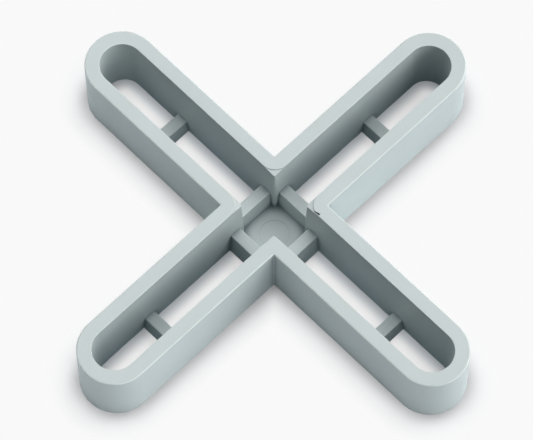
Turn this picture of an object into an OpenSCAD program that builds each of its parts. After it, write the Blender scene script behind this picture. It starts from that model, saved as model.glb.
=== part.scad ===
// Cross-shaped tile spacer, moulded in one piece from stiff plastic.
// One wall runs round the outline of a cross, so each arm is an open slot with a round end.
// Low bars tie the two sides of each arm together, and a thin floor closes the middle.
// The origin is the middle of the underside: arms lie along X and Y, and +Z is up.

/* [Arms] */
// Width of an arm over its outer faces, which is the width of the tile joint
joint_w = 10; // [8:0.5:14]
// Span over the round ends of two opposite arms
span = 68; // [60:0.2:90]
// Height of the spacer
height = 10; // [8:0.5:14]

/* [Wall] */
// Thickness of the wall at its top
wall_t = 2; // [1.6:0.05:2.4]
// How much thicker the wall is at its foot, for draft on its inner face
wall_taper = 0.35; // [0.1:0.05:0.5]
// Radius along the outer top edge of the wall
edge_r = 0.2; // [0.1:0.05:0.4]
// Radius along the inner top edge of the wall, which is almost sharp
rim_r = 0.08; // [0.04:0.02:0.2]
// Radius of the upright inside corner between the outer faces of two arms
notch_r = 0.15; // [0.1:0.05:0.5]

/* [Corner tips] */
// Radius of the upright edge of a tip
tip_r = 0.2; // [0.1:0.05:0.5]
// Depth of a tip's top below the rim where it leaves the straight walls
tip_step = 0.1; // [0.05:0.01:0.3]
// Depth of a tip's top below the rim at its point
tip_drop = 0.3; // [0.2:0.05:1]

/* [Inner bars] */
// Distance in from the line of an arm's outer face to the middle of an inner bar
inner_bar_inset = 0.5; // [0.2:0.02:0.8]
// Thickness of an inner bar at its top
inner_bar_t = 1.7; // [1.2:0.1:2]
// Height of an inner bar
inner_bar_h = 3.9; // [3:0.1:6]
// How far each face of an inner bar leans out at its foot
inner_bar_taper = 0.35; // [0.05:0.05:0.5]

/* [Outer bars] */
// Distance from the middle of the spacer to the middle of an outer bar
outer_bar_at = 20.4; // [16:0.1:23]
// Thickness of an outer bar at its top
outer_bar_t = 1.7; // [1.2:0.1:2]
// Height of an outer bar
outer_bar_h = 2.3; // [2:0.1:5]
// How far each face of an outer bar leans out at its foot
outer_bar_taper = 0.35; // [0.05:0.05:0.5]
// Radius along the top edges of every bar
bar_r = 0.15; // [0.05:0.05:0.3]

/* [Floor] */
// Thickness of the floor in the middle
floor_t = 0.65; // [0.4:0.05:1.2]
// Radius of the round ejector mark in the floor
ejector_r = 2; // [1.5:0.1:2.5]
// Depth of the ejector mark
ejector_depth = 0.06; // [0.04:0.01:0.1]

/* [Moulding void] */
// Length of the wedge-shaped void in the rim at one corner
void_l = 1.15; // [0.8:0.05:1.4]
// Width of the void at its wide end
void_w = 0.3; // [0.15:0.01:0.4]
// Depth of the void below the rim
void_depth = 2.5; // [0.8:0.1:4]
// Distance that the void's narrow end lies inside the line of the arm's outer face
void_lead = 0.95; // [0.3:0.05:1.2]
// Skin left between the void and the inner face of the wall
void_skin = 0.1; // [0.05:0.05:0.3]

/* [Hidden] */
$fn = 96;
plastic = [0.72, 0.77, 0.78];

arm_count = 4;
arm_turn = 360 / arm_count;
half_w = joint_w / 2;
// Middle of an arm's round end
end_x = span / 2 - half_w;
// Where an arm's straight walls start, just past the corner between two arms
run_x = half_w + notch_r;
// The wall's inner face ends and its inner top edge begins to round at this height
round_z = height - rim_r;
foot_t = wall_t + wall_taper;

// Axis of a tip's upright edge
tip_axis = half_w - wall_t + tip_r;
// A tip's top is level up to this distance from the corner of the outer faces, then slopes
tip_z = height - tip_step;
tip_start = wall_t / sqrt(2);
tip_slope = atan2(tip_drop - tip_step, wall_t * sqrt(2) - tip_start);

// Bars and floor reach this far into the wall that carries them
seat = wall_t / 2;
inner_bar_at = half_w - inner_bar_inset;

// Cuts run this far past the faces that they open
clear = 1;

// Cut that rounds the top corner of a section, where the corner points to +X
module corner_cut(corner_x, corner_z, r) {
    translate([corner_x - r, corner_z - r])
        difference() {
            square(r + clear);
            circle(r);
        }
}

// Section of the wall: X is the distance in from the outer face, Y is the height
module wall_section() {
    difference() {
        polygon([[0, 0], [foot_t, 0], [wall_t, round_z], [wall_t, height], [0, height]]);
        corner_cut(wall_t, height, rim_r);
        mirror([1, 0]) corner_cut(0, height, edge_r);
    }
}

// Inner half of that section with a sharp top edge, up to the level part of a tip's top
module tip_section() {
    polygon([[seat, 0], [foot_t, 0], [wall_t, round_z], [wall_t, tip_z], [seat, tip_z]]);
}

// Carries a wall section along X from one place to another, on the arm's +Y side
module along_arm(from_x, to_x) {
    translate([from_x, half_w, 0])
        rotate([90, 0, 90])
            linear_extrude(to_x - from_x)
                mirror([1, 0]) children();
}

// The two straight walls of an arm and its round end
module arm_wall() {
    for (side = [0, 1])
        mirror([0, side, 0])
            along_arm(run_x, end_x) wall_section();
    translate([end_x, 0, 0])
        rotate([0, 0, -90])
            rotate_extrude(angle = 180)
                translate([half_w, 0]) mirror([1, 0]) wall_section();
}

// At the corner between two arms the wall turns about the upright inside corner,
// so the rim's inner edge is an arc there
module corner_rim() {
    translate([run_x, run_x, 0])
        rotate([0, 0, 180])
            rotate_extrude(angle = arm_turn)
                translate([notch_r, 0]) wall_section();
}

// Everything below the sloping top of a corner tip
module below_tip_top() {
    size = 2 * height;
    translate([half_w, half_w, tip_z])
        rotate([0, 0, 225])
            translate([tip_start, 0, 0])
                rotate([0, tip_slope, 0])
                    translate([-size / 2, -size / 2, -size]) cube(size);
}

// Tip that fills the arc of the rim out to a square corner, a little lower than the rim
module corner_tip() {
    intersection() {
        union() {
            along_arm(tip_axis, run_x) tip_section();
            mirror([1, -1, 0]) along_arm(tip_axis, run_x) tip_section();
            translate([tip_axis, tip_axis, 0])
                rotate([0, 0, 180])
                    rotate_extrude(angle = arm_turn)
                        polygon([
                            [0, 0], [tip_r + wall_taper, 0], [tip_r, round_z],
                            [tip_r, tip_z], [0, tip_z]
                        ]);
        }
        below_tip_top();
    }
}

// Bar across an arm, with leaning faces and rounded top edges
module cross_bar(at, thick, high, taper) {
    top = thick / 2;
    foot = top + taper;
    length = joint_w - 2 * seat;
    translate([at, length / 2, 0])
        rotate([90, 0, 0])
            linear_extrude(length)
                difference() {
                    polygon([
                        [-foot, 0], [foot, 0], [top, high - bar_r],
                        [top, high], [-top, high], [-top, high - bar_r]
                    ]);
                    for (side = [0, 1])
                        mirror([side, 0]) corner_cut(top, high, bar_r);
                }
}

// Thin floor in the middle, between the four inner bars, with its ejector mark
module centre_floor() {
    width = 2 * inner_bar_at;
    difference() {
        translate([-width / 2, -width / 2, 0]) cube([width, width, floor_t]);
        translate([0, 0, floor_t - ejector_depth]) cylinder(r = ejector_r, h = clear);
    }
}

// Wedge-shaped void where the rim's arc meets the straight wall, at one corner only
module rim_void() {
    lip_y = half_w - wall_t + void_skin;
    translate([half_w - void_lead, lip_y, height - void_depth])
        linear_extrude(void_depth + clear)
            polygon([[0, 0], [void_l, 0], [void_l, void_w]]);
}

module cross_spacer() {
    color(plastic)
        difference() {
            union() {
                for (arm = [0 : arm_count - 1])
                    rotate([0, 0, arm * arm_turn]) {
                        arm_wall();
                        corner_rim();
                        corner_tip();
                        cross_bar(inner_bar_at, inner_bar_t, inner_bar_h, inner_bar_taper);
                        cross_bar(outer_bar_at, outer_bar_t, outer_bar_h, outer_bar_taper);
                    }
                centre_floor();
            }
            rim_void();
        }
}

cross_spacer();
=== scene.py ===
# %% [markdown]
# # A cross-shaped tile spacer
# The object is one small moulding of pale blue-grey plastic. A tiler stands it where four
# tiles meet, and its arms keep the joints even. The whole part is one wall that runs round
# the outline of a cross, with low bars between its two sides.
#
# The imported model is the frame: it has the true sizes, and everything here is built on it.
# Its one solid already has the moulding's shape, with its rounded edges, so it stays as it
# is, and this lesson is about finish, paper, light and camera.

# %% Load the frame
import math

import bpy
from mathutils import Matrix, Vector


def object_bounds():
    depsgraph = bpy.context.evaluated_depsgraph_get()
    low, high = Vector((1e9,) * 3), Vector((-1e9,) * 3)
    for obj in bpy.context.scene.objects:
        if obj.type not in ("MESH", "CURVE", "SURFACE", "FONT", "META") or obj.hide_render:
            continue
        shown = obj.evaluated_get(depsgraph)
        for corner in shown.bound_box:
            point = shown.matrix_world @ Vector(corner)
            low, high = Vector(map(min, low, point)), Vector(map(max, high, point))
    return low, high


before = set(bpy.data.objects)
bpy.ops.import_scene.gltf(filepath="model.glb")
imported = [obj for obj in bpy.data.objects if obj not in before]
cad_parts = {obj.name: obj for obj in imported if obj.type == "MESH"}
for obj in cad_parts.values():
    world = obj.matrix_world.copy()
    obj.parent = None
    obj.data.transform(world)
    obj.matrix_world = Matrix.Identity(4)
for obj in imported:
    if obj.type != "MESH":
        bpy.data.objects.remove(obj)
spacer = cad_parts["cross_spacer"]
cad_box = [list(corner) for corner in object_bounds()]
MM = 0.001
span = cad_box[1][0] - cad_box[0][0]
height = cad_box[1][2] - cad_box[0][2]
print(f"span {span / MM:.1f} mm, height {height / MM:.1f} mm")

# %% [markdown]
# ## The camera
# The photograph looks steeply down, almost along the diagonal between two arms, and from far
# away: the far arm ends are hardly smaller than the near ones. A long lens at a long distance
# gives that flat perspective. The camera is placed by an azimuth and an elevation round a
# point on the ground, and then rolled a little about its own line of sight.

# %% Camera
PHOTO_WIDTH_PX = 533
SENSOR_MM = 36
azimuth, elevation, roll = (math.radians(degrees) for degrees in (45.95, 65.92, -0.557))
camera_distance = 0.5264
focal_px = 3930.1
target = Vector((-2.385 * MM, 0.865 * MM, 0))
NEAREST_SEEN, FARTHEST_SEEN = 0.01, 10

toward_camera = Vector((
    math.sin(azimuth) * math.cos(elevation),
    -math.cos(azimuth) * math.cos(elevation),
    math.sin(elevation),
))
level_right = Vector((math.cos(azimuth), math.sin(azimuth), 0))
level_up = toward_camera.cross(level_right)
right = math.cos(roll) * level_right + math.sin(roll) * level_up
up = math.cos(roll) * level_up - math.sin(roll) * level_right

camera_data = bpy.data.cameras.new("camera")
camera_data.sensor_width = SENSOR_MM
camera_data.lens = focal_px * SENSOR_MM / PHOTO_WIDTH_PX
camera_data.clip_start, camera_data.clip_end = NEAREST_SEEN, FARTHEST_SEEN
camera = bpy.data.objects.new("camera", camera_data)
camera.matrix_world = Matrix.Translation(target + camera_distance * toward_camera) @ (
    Matrix((right, up, toward_camera)).transposed().to_4x4()
)
bpy.context.scene.collection.objects.link(camera)
bpy.context.scene.camera = camera
print(f"lens {camera_data.lens:.0f} mm at {camera_distance:.2f} m")

# %% [markdown]
# ## A small kit for node materials
# Every finish here is worked out by shader nodes, from the place and the normal of each point
# of the surface, so nothing has to be unwrapped. Two helpers keep that readable: one starts an
# empty material, and one adds a node, sets its plain values and links what feeds it.

# %% Helpers for materials
def new_material(name):
    """An empty node material, ready for its shader."""
    material = bpy.data.materials.new(name)
    material.use_nodes = True
    material.node_tree.nodes.clear()
    return material


def add_node(tree, kind, settings=(), **inputs):
    """Adds one node. Settings are its own options, and an input is a number, a colour
    or the output socket that feeds it. Its name is the input's name with _ for a space,
    or i and its place in the list where several inputs share a name."""
    node = tree.nodes.new(kind)
    for name, value in dict(settings).items():
        setattr(node, name, value)
    for name, value in inputs.items():
        by_place = name[1:].isdigit()
        socket = node.inputs[int(name[1:]) if by_place else name.replace("_", " ")]
        if isinstance(value, bpy.types.NodeSocket):
            tree.links.new(value, socket)
        else:
            socket.default_value = value
    return node


def maths(tree, operation, *values):
    """The result of one arithmetic step on numbers or sockets."""
    feeds = {f"i{place}": value for place, value in enumerate(values)}
    return add_node(tree, "ShaderNodeMath", {"operation": operation}, **feeds).outputs[0]


def blend_colours(tree, amount, first, second):
    """Goes from the first colour to the second as the amount goes from 0 to 1."""
    return add_node(tree, "ShaderNodeMix", {"data_type": "RGBA"},
                    Factor=amount, i6=first, i7=second).outputs[2]


def smooth_step(tree, value, start, end):
    """Rises softly from 0 where the value is at start to 1 where it is at end."""
    return add_node(
        tree, "ShaderNodeMapRange", {"interpolation_type": "SMOOTHSTEP"},
        Value=value, From_Min=start, From_Max=end,
    ).outputs[0]


# %% [markdown]
# ## Grain
# Moulded plastic and paper are never quite even: their colour wanders by a hundredth or two
# over a few millimetres, and a fine grain breaks up the plastic's gloss. Both surfaces need
# it, so it is one node group with named inputs, placed in each material with its own sizes.
# Soft noise at two scales gives the clouding and the grain. An image of noise would do too,
# but it would have to be unwrapped onto the part, and this has no seams.

# %% Grain group
CLOUD_DETAIL, GRAIN_DETAIL = 2.0, 3.0
# Soft noise hardly ever leaves this range
NOISE_LOW, NOISE_HIGH = 0.3, 0.7


def soft_grain_group():
    """Object-space noise: Cloud is the slow drift of colour and Height the fine grain,
    both around 0.5."""
    group = bpy.data.node_groups.new("soft_grain", "ShaderNodeTree")
    for name, direction in (("Cloud Scale", "INPUT"), ("Grain Scale", "INPUT"),
                            ("Cloud", "OUTPUT"), ("Height", "OUTPUT")):
        group.interface.new_socket(name, in_out=direction, socket_type="NodeSocketFloat")
    given = group.nodes.new("NodeGroupInput")
    result = group.nodes.new("NodeGroupOutput")
    place = group.nodes.new("ShaderNodeTexCoord").outputs["Object"]
    for scale, detail, output in (("Cloud Scale", CLOUD_DETAIL, "Cloud"),
                                  ("Grain Scale", GRAIN_DETAIL, "Height")):
        noise = add_node(group, "ShaderNodeTexNoise", Vector=place,
                         Scale=given.outputs[scale], Detail=detail)
        group.links.new(noise.outputs["Fac"], result.inputs[output])
    return group


soft_grain = soft_grain_group()


def place_grain(tree, clouds_per_metre, grains_per_metre):
    """Places the group in a material and returns its outputs."""
    return add_node(tree, "ShaderNodeGroup", {"node_tree": soft_grain},
                    Cloud_Scale=clouds_per_metre, Grain_Scale=grains_per_metre).outputs


def spread(tree, noise, low, high):
    """Stretches soft noise over the range from low to high."""
    return add_node(tree, "ShaderNodeMapRange", Value=noise, From_Min=NOISE_LOW,
                    From_Max=NOISE_HIGH, To_Min=low, To_Max=high).outputs[0]


def clouded(tree, colour, cloud, low, high):
    """A colour that drifts a little darker and lighter with the cloud."""
    return add_node(tree, "ShaderNodeVectorMath", {"operation": "SCALE"},
                    Vector=colour, Scale=spread(tree, cloud, low, high)).outputs[0]


print("group", soft_grain.name, [item.name for item in soft_grain.interface.items_tree])

# %% [markdown]
# ## The plastic
# The real part is opaque, pale blue-grey and satin, and the photograph shows every rounded
# edge of it as a thin paler line. The rounding is real, in the solid, but at this size it
# catches too little of the light, so a painted highlight, a shade lighter colour, is laid on
# the edges, and they also get a little more gloss. They are found from the surface itself. A
# flat top has a normal that points straight up and a wall has one that lies level, so
# whatever is in between belongs to a rounded edge.
#
# Inside corners are the opposite. In the photograph they are darker than these lamps make
# them, where the bars meet the walls and the floor and in the little void in the rim. So the
# colour is deepened there to match, a painted shade that doesn't claim that the part is dirty.
# An ambient occlusion node finds the corners, since it tells how open the surface is within
# a small reach. It looks at the part alone, so the paper below doesn't count as a corner.
# This shade belongs to the colour and stays under any other light.

# %% Plastic
PLASTIC_COLOUR = (0.487, 0.545, 0.546, 1)
# painted highlight: a lighter colour for the rounded edges
EDGE_HIGHLIGHT_COLOUR = (0.62, 0.685, 0.675, 1)
# painted shade: a darker colour for the inside corners
CORNER_SHADE_COLOUR = (0.15, 0.19, 0.215, 1)
# The upward part of the normal, where a wall goes over into an edge and an edge into a top
WALL_TO_EDGE = (0.2, 0.4)
EDGE_TO_TOP = (0.9, 0.985)
# How open the surface is, where a corner begins and where it is at its dullest
CORNER_OPENNESS = (0.8, 0.35)
CORNER_REACH = 2 * MM
CORNER_SAMPLES = 16
PLASTIC_CLOUDING = (0.98, 1.02)
ROUGHNESS = (0.36, 0.44)
EDGE_POLISH = 0.05
SHINE = 0.3
CLOUDS_PER_METRE, GRAINS_PER_METRE = 160, 2500
GRAIN_DEPTH = 0.004 * MM

plastic = new_material("spacer_plastic")
tree = plastic.node_tree
grain = place_grain(tree, CLOUDS_PER_METRE, GRAINS_PER_METRE)
normal = tree.nodes.new("ShaderNodeTexCoord").outputs["Normal"]
upward = add_node(tree, "ShaderNodeSeparateXYZ", Vector=normal).outputs["Z"]
edge = maths(tree, "SUBTRACT", smooth_step(tree, upward, *WALL_TO_EDGE),
             smooth_step(tree, upward, *EDGE_TO_TOP))
openness = add_node(tree, "ShaderNodeAmbientOcclusion",
                    {"only_local": True, "samples": CORNER_SAMPLES},
                    Distance=CORNER_REACH).outputs["AO"]
# painted shade: the colour darkens where the surface is closed in, in inside corners
corner = smooth_step(tree, openness, *CORNER_OPENNESS)
# painted highlight: the rounded edges get the lighter colour
with_painted_highlight = blend_colours(tree, edge, PLASTIC_COLOUR, EDGE_HIGHLIGHT_COLOUR)
colour = clouded(tree, blend_colours(tree, corner, with_painted_highlight, CORNER_SHADE_COLOUR),
                 grain["Cloud"], *PLASTIC_CLOUDING)
roughness = maths(tree, "SUBTRACT", spread(tree, grain["Height"], *ROUGHNESS),
                  maths(tree, "MULTIPLY", edge, EDGE_POLISH))
bump = add_node(tree, "ShaderNodeBump", Height=grain["Height"], Distance=GRAIN_DEPTH)
shader = add_node(tree, "ShaderNodeBsdfPrincipled", Base_Color=colour, Roughness=roughness,
                  Specular_IOR_Level=SHINE, Normal=bump.outputs[0])
add_node(tree, "ShaderNodeOutputMaterial", Surface=shader.outputs[0])
spacer.data.materials.clear()
spacer.data.materials.append(plastic)
print("plastic nodes", len(tree.nodes))

# %% [markdown]
# ## The paper
# The part stands on white paper that the photograph shows almost burnt out: the paper is
# even white, and the shadow beside each wall is only a few millimetres wide. One sheet can't
# do both that and light the part from below as white paper does. So two sheets lie in the
# same place. The camera sees one, lit by its own soft lamps from above. The other can't be
# seen, and throws the light of the other lamps back on the part.
#
# Away from the part, the seen sheet turns into plain white that no lamp changes. It does so
# by the distance from the part's outline, and that distance is simple to work out: the part
# covers all points within half an arm's width of two crossing lines.
#
# Inside the outline the paper shows through the slots. The shadow that the lamps cast there
# left the middle of a slot greyer and its edges lighter than in the photograph, so part of
# that shade is painted, and some light too: the seen sheet's colour goes from bluish grey at
# the walls to a white in the middle that is brighter than the open paper. With white paper in
# the slots the bouncing sheet made the inner walls clearly too light, so it is painted dark
# there as shade. Both are fitted to the picture.

# %% Paper
PAPER_HALF = 1.5
SHEET_CORNERS = ((-1, -1), (1, -1), (1, 1), (-1, 1))
PAPER_COLOUR = (0.885, 0.9, 0.91, 1)
BOUNCE_COLOUR = (0.85, 0.9, 0.93, 1)
BACKGROUND = (0.947, 0.947, 0.947, 1)
PAPER_CLOUDING = (0.99, 1.01)
PAPER_CLOUDS_PER_METRE, PAPER_GRAINS_PER_METRE = 90, 1200
ARM_WIDTH = 10 * MM
# Distances from the outline, which are below zero inside it
SHADOW_FULL, SHADOW_GONE = 0.3 * MM, 4.4 * MM
SLOT_MIDDLE, SLOT_WALL = -4.6 * MM, -2.35 * MM
# painted shade and light for the seen sheet in the slots: bluish grey at the walls, a white
# brighter than the open paper in the middle
SLOT_PAINTED_SHADE = (0.585, 0.62, 0.65, 1)
SLOT_PAINTED_LIGHT = (1, 1, 1, 1)
# painted shade: the unseen bouncing sheet is dark inside the outline, so the inner walls get
# less light back
SLOT_BOUNCE_SHADE = (0.23, 0.3, 0.37, 1)


def distance_from_outline(tree):
    """Distance of a point on the paper from the cross: to the nearer of two lines along
    X and Y, each ending where the round ends start, less half an arm's width."""
    place = tree.nodes.new("ShaderNodeTexCoord").outputs["Object"]
    parts = add_node(tree, "ShaderNodeSeparateXYZ", Vector=place)
    along, across = (maths(tree, "ABSOLUTE", parts.outputs[axis]) for axis in "XY")
    line_end = (span - ARM_WIDTH) / 2
    distances = []
    for main, side in ((along, across), (across, along)):
        past_end = maths(tree, "MAXIMUM", maths(tree, "SUBTRACT", main, line_end), 0.0)
        squares = (maths(tree, "POWER", past_end, 2.0), maths(tree, "POWER", side, 2.0))
        distances.append(maths(tree, "SQRT", maths(tree, "ADD", *squares)))
    return maths(tree, "SUBTRACT", maths(tree, "MINIMUM", *distances), ARM_WIDTH / 2)


def slot_shade(tree, distance):
    """The seen sheet's colour inside the outline: painted shade at the walls going over to a
    painted white, lighter than the open paper, in the middle of a slot.
    """
    toward_wall = smooth_step(tree, distance, SLOT_MIDDLE, SLOT_WALL)
    return blend_colours(tree, toward_wall, SLOT_PAINTED_LIGHT, SLOT_PAINTED_SHADE)


def flat_sheet(name, seen):
    """A wide square on the ground, either seen by the camera or only felt by the part."""
    mesh = bpy.data.meshes.new(name)
    corners = [(x * PAPER_HALF, y * PAPER_HALF, 0) for x, y in SHEET_CORNERS]
    mesh.from_pydata(corners, [], [tuple(range(len(corners)))])
    sheet = bpy.data.objects.new(name, mesh)
    bpy.context.scene.collection.objects.link(sheet)
    sheet.visible_camera = seen
    sheet.visible_diffuse = sheet.visible_glossy = not seen
    sheet.visible_shadow = False
    return sheet


def paper_sheet(name, open_colour, seen):
    """A sheet of paper with its colour in the open and its own colour in the slots."""
    sheet = flat_sheet(name, seen)
    material = new_material(name)
    sheet.data.materials.append(material)
    tree = material.node_tree
    distance = distance_from_outline(tree)
    outside = maths(tree, "GREATER_THAN", distance, 0.0)
    # inside the outline both sheets carry painted shade
    painted_slot_colour = slot_shade(tree, distance) if seen else SLOT_BOUNCE_SHADE
    cloud = place_grain(tree, PAPER_CLOUDS_PER_METRE, PAPER_GRAINS_PER_METRE)["Cloud"]
    colour = clouded(tree, blend_colours(tree, outside, painted_slot_colour, open_colour),
                     cloud, *PAPER_CLOUDING)
    surface = add_node(tree, "ShaderNodeBsdfDiffuse", Color=colour).outputs[0]
    if seen:
        plain_white = add_node(tree, "ShaderNodeEmission", Color=BACKGROUND).outputs[0]
        away = smooth_step(tree, distance, SHADOW_FULL, SHADOW_GONE)
        surface = add_node(tree, "ShaderNodeMixShader",
                           i0=away, i1=surface, i2=plain_white).outputs[0]
    add_node(tree, "ShaderNodeOutputMaterial", Surface=surface)
    return sheet


seen_paper = paper_sheet("seen_paper", PAPER_COLOUR, True)
bounce_paper = paper_sheet("bounce_paper", BOUNCE_COLOUR, False)
print("paper", PAPER_HALF * 2, "m square")

# %% [markdown]
# ## The lamps
# The photograph's light is soft and comes from several sides: most of it from high behind the
# part, some from the right and a little from the left. Sun lamps 60 degrees wide are that
# soft, and every part of the object gets the same light from them. Narrower ones left the
# corners too light and the middles of the walls too dark. Light linking gives the part and
# the bouncing sheet one set of lamps, and the seen sheet another. Area lamps would do as
# well, but their light changes with distance.
#
# Each of the part's lamps has a level, which is what it adds to a level white surface. The
# levels come from a fit: the part was rendered with one lamp at a time, and they are the ones
# whose sum is nearest to the photograph. They add up to about 1, so the plastic's colour
# renders about as it is written.
#
# The seen sheet's levels were set by comparing renders. White paper renders darker than the
# sum of those levels, for a reason that wasn't found, so they don't measure its light.

# %% Lamps
LAMP_WIDTH = 60


def collection_of(name, *members):
    """A named collection of the objects that some lamps light."""
    group = bpy.data.collections.new(name)
    for member in members:
        group.objects.link(member)
    return group


lit_by_studio = collection_of("lit_by_studio", spacer, bounce_paper)
lit_by_paper_lamps = collection_of("lit_by_paper_lamps", seen_paper)


def soft_lamp(name, azimuth, elevation, level, receivers, width=LAMP_WIDTH):
    """A wide sun lamp from an azimuth and elevation in degrees. Its strength is the level
    times pi, over the sine of its elevation, since a slanting light spreads out."""
    turn, rise = math.radians(azimuth), math.radians(elevation)
    data = bpy.data.lights.new(name, "SUN")
    data.angle = math.radians(width)
    data.energy = level * math.pi / math.sin(rise)
    level_part = math.cos(rise)
    toward = Vector((math.cos(turn) * level_part, math.sin(turn) * level_part, math.sin(rise)))
    lamp = bpy.data.objects.new(name, data)
    lamp.rotation_euler = toward.to_track_quat("Z", "Y").to_euler()
    bpy.context.scene.collection.objects.link(lamp)
    lamp.light_linking.receiver_collection = receivers
    return lamp


# Azimuth, elevation and level of each lamp, and for the seen sheet's also its width
studio_lamps = {
    "behind": (120, 60, 0.36),
    "right": (45, 31, 0.293),
    "behind_left": (180, 60, 0.213),
    "front_right": (0, 31, 0.131),
    "left": (225, 31, 0.051),
    "high_right": (60, 60, 0.037),
}
paper_lamps = {
    "paper_top": (0, 90, 0.59, 24),
    "paper_back": (90, 50, 0.27, 40),
    "paper_left": (180, 68, 0.15, 30),
    "paper_right": (0, 50, 0.15, 40),
    "paper_front": (225, 78, 0.11, 30),
}
for name, (lamp_azimuth, lamp_elevation, level) in studio_lamps.items():
    soft_lamp(name, lamp_azimuth, lamp_elevation, level, lit_by_studio)
for name, (lamp_azimuth, lamp_elevation, level, width) in paper_lamps.items():
    soft_lamp(name, lamp_azimuth, lamp_elevation, level, lit_by_paper_lamps, width)
print("light on the part", round(sum(level for *_, level in studio_lamps.values()), 3))

# %% [markdown]
# ## The world
# Behind the paper's far edge, a low camera sees the world. It gets the same white as the
# paper there, and so do the rays that the satin plastic reflects, but it adds no light of
# its own to the part.

# %% World
world = bpy.data.worlds.new("studio_white")
bpy.context.scene.world = world
world.use_nodes = True
tree = world.node_tree
ray = tree.nodes.new("ShaderNodeLightPath").outputs
seen_or_mirrored = maths(tree, "MAXIMUM", ray["Is Camera Ray"], ray["Is Glossy Ray"])
seen_directly = maths(tree, "MAXIMUM", seen_or_mirrored, ray["Is Transmission Ray"])
backdrop = tree.nodes["Background"]
backdrop.inputs["Color"].default_value = BACKGROUND
tree.links.new(seen_directly, backdrop.inputs["Strength"])
bpy.context.scene.view_settings.view_transform = "Standard"
print("world seen by camera and gloss only")
